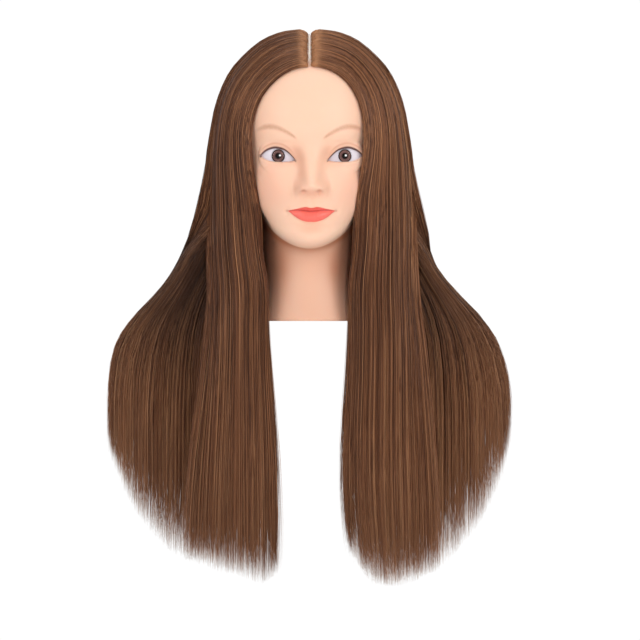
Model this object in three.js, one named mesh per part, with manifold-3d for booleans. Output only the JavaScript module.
// Cosmetology training head: a hollow soft-vinyl head and neck with inserted eyes,
// a rigid foam core, a moulded neck socket for a clamp post, and long rooted hair
// worn with a centre parting and combed into four sections.
//
// Units are millimetres, +Z up. The face looks along -Y and the wearer's right side is -X.
// The origin is the centre of the socket's seat, the flat face inside the neck on
// which the tip of a clamp post bears. The pieces are drawn with heights measured from
// the flat underside of the neck, and the inner group lowers them all to the seat.

import * as THREE from "three";
import { mergeVertices } from "three/addons/utils/BufferGeometryUtils.js";
import Module from "manifold-3d";

const wasm = await Module();
wasm.setup();

// ---------------------------------------------------------------- driving sizes
const SKIN = 3.5; // vinyl thickness
const FIT_GAP = 0.4; // between nested parts, and round the socket's flange
const FILM = 1; // thickness of the root bonding film inside the scalp
const BASE_Z = 4; // thickness of the neck's turned-in bottom
const HOLE_R = 36; // hole in that bottom, which the socket's flange fills

const SEAT_Z = 72; // depth of the post bore, from the underside of the neck to its seat
const FLANGE_R = HOLE_R - FIT_GAP;
const FLANGE_TOP = BASE_Z - 0.3;
const CUP_MOUTH_R = 19; // outside of the tapered cup
const CUP_END_R = 16;
const CUP_TOP = SEAT_Z + 4;
const BORE_MOUTH_R = 14.2; // tapered bore for the post
const BORE_SEAT_R = 11.6;
const GUSSET_COUNT = 6;
const GUSSET_THICK = 2.4;

const EYE_R = 17; // radius of an eye dome
const EYE_X = 32; // centre of the dome
const EYE_Y = -60;
const EYE_Z = 158.5;
const LID = 2.4; // how far the lids' outer surface stands off the dome
const LID_BLEND = 3; // depth over which the crease between lid and face is rounded

const PARTING = 0.6; // half width of the gap along the centre parting
const HAIR_SPLIT_Y = -6; // ear-to-ear partition between the front and back sections
const HAIR_SPLIT_GAP = 1; // from the partition to the hair on either side of it

// Y and X ranges that run right past the piece being cut.
const PAST_HEAD = [-200, 200];
const PAST_HAIR = [-160, 160];
const SIDES = { right: -1, left: 1 }; // sign of x

// ---------------------------------------------------------------- solid helpers
// A closed three.js geometry as a solid for cutting and joining, wound to face outward.
function solid(geometry) {
  geometry.deleteAttribute("normal");
  geometry.deleteAttribute("uv");
  const merged = mergeVertices(geometry, 1e-4);
  const corners = merged.index.array;
  const triangles = [];
  for (let i = 0; i < corners.length; i += 3) {
    const [first, second, third] = corners.slice(i, i + 3);
    if (first !== second && second !== third && first !== third)
      triangles.push(first, second, third);
  }
  const build = () =>
    new wasm.Manifold(
      new wasm.Mesh({
        numProp: 3,
        vertProperties: new Float32Array(merged.attributes.position.array),
        triVerts: new Uint32Array(triangles),
      }),
    );
  const made = build();
  if (made.volume() >= 0) return made;
  for (let i = 0; i < triangles.length; i += 3)
    [triangles[i + 1], triangles[i + 2]] = [triangles[i + 2], triangles[i + 1]];
  return build();
}

// The largest body of a solid, so that a cut leaves no loose slivers.
function largest(body) {
  const parts = body.decompose();
  parts.sort((one, other) => other.volume() - one.volume());
  return parts[0];
}

function geometryOf(body) {
  const mesh = body.getMesh();
  const geometry = new THREE.BufferGeometry();
  const positions = new Float32Array(mesh.vertProperties);
  geometry.setAttribute("position", new THREE.BufferAttribute(positions, 3));
  geometry.setIndex(new THREE.BufferAttribute(new Uint32Array(mesh.triVerts), 1));
  geometry.computeVertexNormals();
  return geometry;
}

// A sphere's grid of vertices moved onto a surface: pointAt(turn, row) gives the point at
// a turn (0 is the front, -Y) and at a row from 0 at the top pole to rows at the bottom.
function moulded(columns, rows, pointAt) {
  const geometry = new THREE.SphereGeometry(1, columns, rows);
  const { position } = geometry.attributes;
  for (let row = 0; row <= rows; row++)
    for (let column = 0; column <= columns; column++) {
      const turn = (2 * Math.PI * (column % columns)) / columns;
      position.setXYZ(row * (columns + 1) + column, ...pointAt(turn, row));
    }
  return solid(geometry);
}

// A profile of [radius, height] turned about +Z.
function lathe(profile, segments) {
  const points = profile.map(([radius, height]) => new THREE.Vector2(radius, height));
  const geometry = new THREE.LatheGeometry(points, segments);
  geometry.rotateX(Math.PI / 2); // from turning about +Y
  return solid(geometry);
}

function box([x0, x1], [y0, y1], [z0, z1]) {
  const geometry = new THREE.BoxGeometry(x1 - x0, y1 - y0, z1 - z0);
  geometry.translate((x0 + x1) / 2, (y0 + y1) / 2, (z0 + z1) / 2);
  return solid(geometry);
}

// The x range between two distances from the middle, on one side.
const xRange = (side, inner, outer) => (side < 0 ? [-outer, -inner] : [inner, outer]);

function extrusion(points, depth) {
  const shape = new THREE.Shape(points.map((point) => new THREE.Vector2(...point)));
  return new THREE.ExtrudeGeometry(shape, { depth, bevelEnabled: false });
}

// A shape drawn in the front view (x, z) and run along Y.
function frontPrism(points, y0, y1) {
  const geometry = extrusion(points, y1 - y0);
  geometry.rotateX(Math.PI / 2); // (x, z, depth) to (x, -depth, z)
  geometry.translate(0, y1, 0);
  return solid(geometry);
}

// A round bar along Y.
function barAlongY(x, z, radius, [y0, y1]) {
  const geometry = new THREE.CylinderGeometry(radius, radius, y1 - y0, 28);
  geometry.translate(x, (y0 + y1) / 2, z);
  return solid(geometry);
}

// Smooth (Catmull-Rom) interpolation through a table of rows at a fractional index.
function rowAt(table, index) {
  const last = table.length - 1;
  const i = Math.min(last - 1, Math.max(0, Math.floor(index)));
  const part = index - i;
  const before = table[Math.max(0, i - 1)];
  const start = table[i];
  const end = table[i + 1];
  const after = table[Math.min(last, i + 2)];
  return start.map((value, k) => {
    const slope = end[k] - before[k];
    const square = 2 * before[k] - 5 * value + 4 * end[k] - after[k];
    const cube = 3 * value - before[k] - 3 * end[k] + after[k];
    return 0.5 * (2 * value + slope * part + square * part * part + cube * part * part * part);
  });
}

// Straight interpolation of value against key in a table of [key, value] pairs.
function lerpTable(table, key) {
  if (key <= table[0][0]) return table[0][1];
  for (let i = 1; i < table.length; i++)
    if (key <= table[i][0]) {
      const [key0, value0] = table[i - 1];
      const [key1, value1] = table[i];
      return value0 + ((value1 - value0) * (key - key0)) / (key1 - key0);
    }
  return table[table.length - 1][1];
}

// Depth of a unit superellipse where its width is |across|; 2 is round, more is squarer.
const superDepth = (across, squareness) =>
  Math.pow(Math.max(0, 1 - Math.pow(Math.abs(across), squareness)), 1 / squareness);

// ---------------------------------------------------------------- head form
// Each row is a slanting loop round the head: height at the front, side and back,
// then the front, middle and back positions along Y, the half width, and how square
// the front and the back of the loop are.
const HEAD = [
  [0, 0, 0, -50, 0, 52, 51, 2, 2],
  [12, 12, 12, -46.5, 0, 50, 47.5, 2, 2],
  [28, 28, 28, -43.5, 1, 48, 44.5, 2, 2],
  [44, 46, 48, -42, 3, 48, 43.5, 2, 2],
  [56, 60, 64, -42.5, 4, 50, 44, 2, 2],
  [62.5, 74, 80, -46, 4, 53, 45, 2, 2],
  [66, 84, 95, -56, 2, 58, 45.5, 2.05, 2],
  [67.5, 91, 108, -69, 0, 66, 46, 2.1, 2.05],
  [70.5, 98, 120, -79.5, -2, 75, 47, 2.15, 2.1],
  [77, 106, 131, -85, -3, 83, 50, 2.15, 2.1],
  [87, 115, 142, -86, -4, 89, 54, 2.15, 2.15],
  [98, 125, 152, -85.5, -4, 93, 58.5, 2.2, 2.2],
  [110, 136, 162, -86, -3, 95, 63, 2.2, 2.2],
  [123, 148, 172, -86.8, -2, 97, 67, 2.25, 2.2],
  [138, 160, 182, -86.5, -1, 97.5, 70.5, 2.3, 2.2],
  [153, 172, 190, -86.3, 0, 97.5, 73, 2.35, 2.2],
  [168, 184, 199, -88, 1, 97, 74.5, 2.4, 2.2],
  [185, 197, 208, -90.3, 2, 95, 74.8, 2.4, 2.2],
  [203, 210, 217, -90, 3, 91, 73.5, 2.4, 2.2],
  [220, 224, 227, -86, 4, 84, 70, 2.35, 2.15],
  [236, 237, 238, -77.5, 4.5, 74, 63.5, 2.3, 2.1],
  [250, 250, 250, -63.5, 5, 61, 53.5, 2.2, 2.1],
  [261, 261, 261, -45.5, 5, 46, 40.5, 2.1, 2],
  [268.5, 268.5, 268.5, -24, 5, 28, 24, 2, 2],
  [272, 272, 272, 5, 5, 5, 0, 2, 2],
];
const CROWN_ROW = HEAD.length - 1;
const FACE_ROWS = [7, 18]; // rows of the table that cross the face

// How much of the jaw's climb towards the ears each row takes: [row, share].
const JAW_ROWS = [
  [2, 0], [5, 0.8], [6, 1], [7, 1], [8, 0.85], [9, 0.6], [10, 0.3], [11, 0.1], [12, 0],
];

// Ridge of the nose: [height, how far it stands off the face] and [height, half width].
const NOSE_RIDGE = [
  [115, 0], [119, 0.6], [121.5, 5], [124, 14], [127, 19], [130.5, 20], [135, 18],
  [142, 13.2], [150, 8.2], [158, 3.8], [166, 0.9], [174, 0],
];
const NOSE_WIDTH = [
  [115, 10], [124, 9.6], [130, 9.2], [140, 7.4], [150, 6.4], [160, 6.8], [174, 8],
];

// Soft bumps and hollows on each side of the face:
// [stand-off, distance from the middle, spread across, height, spread up and down].
const FACE_BUMPS = [
  [8.5, 11, 4.8, 126.5, 5], // wings of the nose
  [4, 0, 27, 106, 17], // mouth region
  [2.5, 0, 19, 101, 4.5], // lower lip
  [1.8, 0, 19, 108.5, 3.2], // upper lip
  [-2.6, 0, 18, 91.5, 5], // hollow under the lip
  [4.5, 0, 17, 80, 9], // chin
  [2.6, 36, 18, 133, 15], // cheeks
  [-5.5, 31, 14, 161, 9], // eye sockets
  [1.2, 30, 16, 178, 7], // brow
];

// How far the features stand out from the plain head, in front of it.
function features(x, z) {
  const across = Math.abs(x);
  const ridge = Math.exp(-Math.pow(across / lerpTable(NOSE_WIDTH, z), 2.3));
  let standOff = lerpTable(NOSE_RIDGE, z) * ridge;
  for (const [amount, centreX, spreadX, centreZ, spreadZ] of FACE_BUMPS) {
    const offX = (across - centreX) / spreadX;
    const offZ = (z - centreZ) / spreadZ;
    standOff += amount * Math.exp(-offX * offX - offZ * offZ);
  }
  return standOff;
}

// The y of the skin, brought forward where a lid wraps the eye dome in front of it.
function lids(x, y, z) {
  const offX = Math.abs(x) - EYE_X;
  const offZ = z - EYE_Z;
  const radius = EYE_R + LID;
  const depthSquared = radius * radius - offX * offX - offZ * offZ;
  if (depthSquared <= 0) return y;
  const lidY = EYE_Y - Math.sqrt(depthSquared);
  const blend = Math.max(0, LID_BLEND - Math.abs(y - lidY)) / LID_BLEND;
  return Math.min(y, lidY) - (blend * blend * LID_BLEND) / 6;
}

// How far a loop rises towards the ears; it fades out behind them.
function jawClimb(x, row, facing) {
  const side = Math.min(1, Math.max(0, facing + 0.6));
  const fade = side * side * (3 - 2 * side);
  const rise = 3 + 11 * Math.pow(Math.min(1.15, Math.abs(x) / 40), 1.9);
  return rise * fade * lerpTable(JAW_ROWS, row);
}

// A point of the head at a turn and a row, drawn in by inset. The detail is "outer" for
// the whole face, "inner" for only its hollows, never what stands out, or "none".
function headPoint(turn, row, inset, detail) {
  const [
    frontZ, sideZ, backZ, frontY, middleY, backY, halfWidth, frontSquare, backSquare,
  ] = rowAt(HEAD, row);
  if (row >= CROWN_ROW) return [0, middleY, sideZ];
  const facing = Math.cos(turn); // 1 at the front, -1 at the back
  const across = Math.sin(turn);
  const inFront = facing > 0;
  const depth = superDepth(across, inFront ? frontSquare : backSquare);
  const slant = Math.pow(depth, 1.15);
  const endY = inFront ? Math.min(middleY, frontY + inset) : Math.max(middleY, backY - inset);
  const endZ = inFront ? frontZ : backZ;
  const x = Math.max(0, halfWidth - inset) * across;
  let y = middleY + (endY - middleY) * depth;
  const z = sideZ + (endZ - sideZ) * slant + jawClimb(x, row, facing);
  if (inFront && detail !== "none") {
    const standOff = features(x, z) * Math.min(1, depth * 1.6); // fades out at the sides
    y = detail === "outer" ? lids(x, y - standOff, z) : y - Math.min(0, standOff);
  }
  return [x, y, z];
}

// Rows of the head from the crown down, closer together over the face.
function headRows(step, faceStep) {
  const [faceFrom, faceTo] = FACE_ROWS;
  const rows = [];
  for (let row = CROWN_ROW; row > 0.3; row -= row > faceTo || row < faceFrom ? step : faceStep)
    rows.push(row);
  rows.push(0);
  return rows;
}

// The head drawn in by inset all round, and by topInset more at the crown.
// faceFocus crowds the columns towards the face.
function headSolid({
  columns, step, faceStep, faceFocus = 0.2, inset, detail, bottomZ = 0, topInset = 0,
}) {
  const rows = headRows(step, faceStep);
  return moulded(columns, rows.length, (turn, i) => {
    if (i === rows.length) return [0, 0, bottomZ];
    const [x, y, z] = headPoint(turn - faceFocus * Math.sin(turn), rows[i], inset, detail);
    const lowered = z - topInset * Math.min(1, Math.max(0, (z - 215) / 57));
    return [x, y, rows[i] === 0 ? bottomZ : lowered];
  });
}

// The cavity, film and foam share one grid, so that they nest with even gaps.
const INNER = { columns: 24, step: 1.5, faceStep: 1.1, detail: "inner", bottomZ: BASE_Z };
// Plain, enlarged heads that keep the hair clear of the skin.
const CLEARANCE = { columns: 24, step: 1.3, faceStep: 1.1, detail: "none" };

// ---------------------------------------------------------------- eyes
const IRIS_R = 6.1;
const IRIS_BACK = 15.3; // distances in front of the dome's centre
const IRIS_FRONT = 15.7;
const CORNEA = {
  rimR: 7.9,
  recessR: 6.4, // recess in its back, which clears the iris
  back: 15.25,
  recess: 15.98,
  apex: 17.7,
  curveR: 14,
  steps: 4,
};

const atEye = (body, side) => body.translate([side * EYE_X, EYE_Y, EYE_Z]);

// Eye parts are drawn about +Z, then laid over to look straight ahead along -Y.
const eyePlaced = (body, side) => atEye(body.rotate([90, 0, 0]), side);

// A band of the dome, closed by flat faces behind and under the iris.
function eyeWhite() {
  const [from, to, steps] = [13.6, 61.7, 4]; // degrees up from the dome's equator
  const dome = Array.from({ length: steps + 1 }, (_, i) => {
    const angle = ((from + ((to - from) * i) / steps) * Math.PI) / 180;
    return [EYE_R * Math.cos(angle), EYE_R * Math.sin(angle)];
  });
  return lathe([[0, 4], ...dome, [0, 14.97]], 20);
}

function eyeIris() {
  return lathe([[0, IRIS_BACK], [IRIS_R, IRIS_BACK], [IRIS_R, IRIS_FRONT], [0, IRIS_FRONT]], 20);
}

function eyeCornea() {
  const { rimR, recessR, back, recess, apex, curveR, steps } = CORNEA;
  const bulge = Array.from({ length: steps }, (_, i) => {
    const radius = rimR * (1 - (i + 1) / steps);
    return [radius, apex - curveR + Math.sqrt(curveR * curveR - radius * radius)];
  });
  return lathe([[0, recess], [recessR, recess], [recessR, back], [rimR, back], ...bulge], 20);
}

// ---------------------------------------------------------------- head shell
// Outline of an eye opening from the nose outward: [distance from the eye's centre, height].
const EYE_OPENING = [
  [-17, -3.2], [-12.5, 1.8], [-7, 6.2], [-1, 8.1], [5, 7.6], [11, 4.9], [16.8, 1.2],
  [13, -2.4], [7, -5.4], [0, -6.4], [-7, -5.9], [-12.5, -4.6],
];

// The space behind the lids for an eye, and the opening between them.
function eyeRoom(side) {
  const opening = EYE_OPENING.map(([out, up]) => [side * (EYE_X + out), EYE_Z + up]);
  return atEye(solid(new THREE.SphereGeometry(EYE_R + 1.1, 20, 14)), side).add(
    frontPrism(opening, -100, EYE_Y - 2),
  );
}

function headShell() {
  const outer = headSolid({
    columns: 46, step: 1, faceStep: 0.5, faceFocus: 0.45, inset: 0, detail: "outer",
  });
  const cavity = headSolid({ ...INNER, inset: SKIN, topInset: SKIN }).intersect(
    box(PAST_HEAD, PAST_HEAD, [BASE_Z, 400]),
  );
  const bottomHole = lathe([[0, -2], [HOLE_R, -2], [HOLE_R, BASE_Z + 2], [0, BASE_Z + 2]], 36);
  return largest(
    outer.subtract(cavity).subtract(bottomHole).subtract(eyeRoom(-1)).subtract(eyeRoom(1)),
  );
}

// ---------------------------------------------------------------- neck socket
function gusset(turn) {
  const innerR = CUP_END_R - 1; // buried in the cup's wall
  const outerR = FLANGE_R - 3;
  const bottom = BASE_Z - 1; // buried in the flange
  const outline = [[innerR, bottom], [outerR, bottom], [outerR, BASE_Z + 5], [innerR, 58]];
  const geometry = extrusion(outline, GUSSET_THICK);
  geometry.translate(0, 0, -GUSSET_THICK / 2);
  geometry.rotateX(Math.PI / 2);
  geometry.rotateZ(turn);
  return solid(geometry);
}

// Flange, tapered cup and gussets, moulded in one piece.
function neckSocket() {
  let body = lathe(
    [
      [BORE_MOUTH_R, 0],
      [FLANGE_R, 0],
      [FLANGE_R, FLANGE_TOP],
      [CUP_MOUTH_R, FLANGE_TOP],
      [CUP_END_R, CUP_TOP],
      [0, CUP_TOP],
      [0, SEAT_Z],
      [BORE_SEAT_R, SEAT_Z],
      [BORE_MOUTH_R, 0],
    ],
    28,
  );
  for (let i = 0; i < GUSSET_COUNT; i++)
    body = body.add(gusset((i * 2 * Math.PI) / GUSSET_COUNT + Math.PI / 6));
  // The bore, carried on 1 below the mouth, clears any gusset that reaches into it.
  const belowR = BORE_MOUTH_R + (BORE_MOUTH_R - BORE_SEAT_R) / SEAT_Z;
  const bore = lathe([[0, -1], [belowR, -1], [BORE_SEAT_R, SEAT_Z], [0, SEAT_Z]], 28);
  return largest(body.subtract(bore));
}

// ---------------------------------------------------------------- root film and foam core
const FILM_INSET = SKIN + FIT_GAP;
const FOAM_INSET = FILM_INSET + FILM + FIT_GAP;

// The film lines the rooted part of the scalp: above a plane from the hairline to the nape.
function rootFilm() {
  const outer = headSolid({ ...INNER, inset: FILM_INSET, topInset: 4 });
  const inner = headSolid({ ...INNER, inset: FILM_INSET + FILM, topInset: 4 + FILM });
  const scalp = box([-200, 200], [-300, 300], [0, 300])
    .rotate([-31, 0, 0])
    .translate([0, -20, 190]);
  return largest(outer.subtract(inner).intersect(scalp));
}

// Scoop behind an eye, wide enough to clear the lids and the inner corner.
function foamEyeRoom(side) {
  const socket = solid(new THREE.SphereGeometry(1, 18, 12))
    .scale([25, 18, 17])
    .translate([side * 30.5, -80, EYE_Z]);
  return atEye(solid(new THREE.SphereGeometry(EYE_R + 1.8, 14, 10)), side).add(socket);
}

function foamCore() {
  const cupTop = CUP_TOP + 0.6;
  const cupRoom = lathe([[0, 50], [CUP_MOUTH_R + 0.5, 50], [CUP_END_R + 0.8, cupTop], [0, cupTop]], 20);
  return largest(
    headSolid({ ...INNER, inset: FOAM_INSET, topInset: 5.6 })
      .intersect(box(PAST_HEAD, PAST_HEAD, [60, 400]))
      .subtract(cupRoom)
      .subtract(foamEyeRoom(-1))
      .subtract(foamEyeRoom(1)),
  );
}

// ---------------------------------------------------------------- hair on the head
// Where the lengths leave the head: the axis of a rounded joint along Y, its radius,
// and the gap left round it in the hair above.
const FRONT_PIVOT = { x: 71, z: 72, radius: 26, gap: 1.3 };
const BACK_PIVOT = { x: 84, z: 66, radius: 37, gap: 1.4 };

// Outer form of the combed hair: height, front, back, half width.
const HAIR_OUTER = [
  [280, 2, 2, 0],
  [277.5, -24, 28, 18],
  [272, -44, 49, 35],
  [262, -62, 67, 53],
  [250, -76, 82, 67.5],
  [237, -87, 93, 77.5],
  [220, -95.5, 101, 86],
  [200, -99, 106, 92.5],
  [180, -97, 109, 96.3],
  [160, -91, 111, 99],
  [140, -83, 111, 102.5],
  [120, -75, 108, 106.5],
  [100, -69, 102, 111.5],
  [84, -65, 96, 116.5],
  [62, -63, 92, 122],
];

// The face and throat, left open between the front sections: [height, half width].
const FACE_EDGE = [
  [20, 41], [63.6, 43.2], [85, 46.5], [108.7, 48.5], [132, 52.5], [151.8, 55], [171.5, 55.5],
  [191, 53.4], [204.7, 49.5], [218.4, 43], [230.4, 31], [239, 17], [242.5, 1],
];

function hairForm() {
  const middleY = 4;
  return moulded(30, HAIR_OUTER.length, (turn, i) => {
    if (i === HAIR_OUTER.length) return [0, 15, 62];
    const [z, frontY, backY, halfWidth] = HAIR_OUTER[i];
    if (i === 0) return [0, frontY, z];
    const across = Math.sin(turn);
    const endY = Math.cos(turn) > 0 ? frontY : backY;
    return [halfWidth * across, middleY + (endY - middleY) * superDepth(across, 2.3), z];
  });
}

function faceOpening() {
  const leftEdge = FACE_EDGE.map(([z, halfWidth]) => [halfWidth, z]);
  const rightEdge = FACE_EDGE.map(([z, halfWidth]) => [-halfWidth, z]).reverse();
  return frontPrism([...leftEdge, ...rightEdge], -160, -14);
}

const hairOnHead = hairForm()
  .subtract(headSolid({ ...CLEARANCE, inset: -2.4, bottomZ: -5, topInset: -2.2 }))
  .subtract(faceOpening());

const jointRoom = ({ x, z, radius, gap }, side, yRange) =>
  barAlongY(side * x, z, radius + gap, yRange);

function frontCrown(side) {
  const region = box(
    xRange(side, PARTING, 97.5),
    [-150, HAIR_SPLIT_Y - HAIR_SPLIT_GAP],
    [FRONT_PIVOT.z, 300],
  );
  return largest(
    hairOnHead.intersect(region).subtract(jointRoom(FRONT_PIVOT, side, [-160, 0])),
  );
}

function backCrown(side) {
  const region = box(
    xRange(side, PARTING, 140),
    [HAIR_SPLIT_Y + HAIR_SPLIT_GAP, 150],
    [BACK_PIVOT.z, 300],
  );
  return largest(
    hairOnHead
      .intersect(region)
      .subtract(jointRoom(BACK_PIVOT, side, [-20, 160]))
      .subtract(box(xRange(side, 105, 160), [-20, 160], [0, 94])), // low outer corner
  );
}

// ---------------------------------------------------------------- hanging lengths
// Sections of a hanging length: height, inner and outer x, front and back y.
const FRONT_LENGTH = [
  [98, 68, 74, -62, -22],
  [92, 55, 87, -63, -20],
  [82, 48, 94, -64, -19],
  [72, 45.5, 97, -64, -19],
  [40, 42, 97, -64, -20],
  [0, 39, 97, -64, -22],
  [-50, 37.5, 99, -64, -20],
  [-110, 36, 104, -63, -18],
  [-170, 35, 108, -61, -18],
  [-215, 36, 106, -57, -20],
  [-236, 40, 97, -52, -24],
  [-248, 46, 78, -45, -30],
];
const BACK_LENGTH = [
  [102, 79, 89, 10, 78],
  [94, 62, 107, 2, 84],
  [82, 53, 116, -2, 86],
  [66, 53, 121, -3, 86],
  [48, 54, 133, -4, 84],
  [28, 55, 148, -4, 82],
  [8, 56, 165, -5, 80],
  [-16, 48, 183, -5, 78],
  [-50, 42, 193, -5, 76],
  [-90, 40, 194.5, -5, 74],
  [-132, 39, 186, -5, 70],
  [-165, 38.5, 172, -4, 66],
  [-197, 38, 151, -2, 62],
  [-222, 40, 122, 2, 56],
  [-240, 44, 92, 8, 48],
  [-247, 52, 72, 16, 40],
];
const LENGTH_SQUARENESS = 2.7;

// Room round the neck and jaw, so that a length can swing in a little without touching.
const neckRoom = headSolid({ ...CLEARANCE, inset: -3.4, bottomZ: -6, topInset: -2 });

function lengthForm(table, side, columns) {
  const rows = table.length + 1;
  const rounded = (value) =>
    Math.sign(value) * Math.pow(Math.abs(value), 2 / LENGTH_SQUARENESS);
  return moulded(columns, rows, (turn, i) => {
    const section = table[Math.min(table.length - 1, Math.max(0, i - 1))];
    const [z, innerX, outerX, frontY, backY] = section;
    const centreX = (innerX + outerX) / 2;
    const centreY = (frontY + backY) / 2;
    if (i === 0 || i === rows) return [side * centreX, centreY, z];
    return [
      side * (centreX + ((outerX - innerX) / 2) * rounded(Math.sin(turn))),
      centreY - ((backY - frontY) / 2) * rounded(Math.cos(turn)),
      z,
    ];
  });
}

// A length whose top is rounded about its pivot.
function hangingLength(table, pivot, side, columns) {
  const roundTopped = barAlongY(side * pivot.x, pivot.z, pivot.radius, PAST_HAIR).add(
    box([-400, 400], PAST_HAIR, [-400, pivot.z]),
  );
  return largest(lengthForm(table, side, columns).intersect(roundTopped).subtract(neckRoom));
}

// ---------------------------------------------------------------- materials
const material = (settings) => new THREE.MeshStandardMaterial({ metalness: 0, ...settings });
const vinyl = material({ color: 0xfbd5ba, roughness: 0.5 });
const moulding = material({ color: 0xe9e4da, roughness: 0.45 });
const foam = material({ color: 0xe6d9a8, roughness: 0.95 });
const film = material({ color: 0xd9c9a6, roughness: 0.7 });
const white = material({ color: 0xece2df, roughness: 0.25 });
const iris = material({ color: 0x4f372c, roughness: 0.4 });
const clear = material({ color: 0xffffff, roughness: 0.05, transparent: true, opacity: 0.25 });
const hair = material({ color: 0x5c3d2c, roughness: 0.55 });

// ---------------------------------------------------------------- assembly
const group = new THREE.Group();
group.position.z = -SEAT_Z;

function add(name, body, finish) {
  const mesh = new THREE.Mesh(geometryOf(body), finish);
  mesh.name = name;
  group.add(mesh);
}

add("head_shell", headShell(), vinyl);
add("neck_socket", neckSocket(), moulding);
add("foam_core", foamCore(), foam);
add("root_bonding_film", rootFilm(), film);
for (const [word, side] of Object.entries(SIDES)) {
  add(`eye_white_${word}`, eyePlaced(eyeWhite(), side), white);
  add(`eye_iris_${word}`, eyePlaced(eyeIris(), side), iris);
  add(`eye_cornea_${word}`, eyePlaced(eyeCornea(), side), clear);
  add(`hair_front_${word}_crown`, frontCrown(side), hair);
  add(`hair_back_${word}_crown`, backCrown(side), hair);
  add(`hair_front_${word}_length`, hangingLength(FRONT_LENGTH, FRONT_PIVOT, side, 22), hair);
  add(`hair_back_${word}_length`, hangingLength(BACK_LENGTH, BACK_PIVOT, side, 24), hair);
}

const root = new THREE.Group();
root.add(group);
export default root;
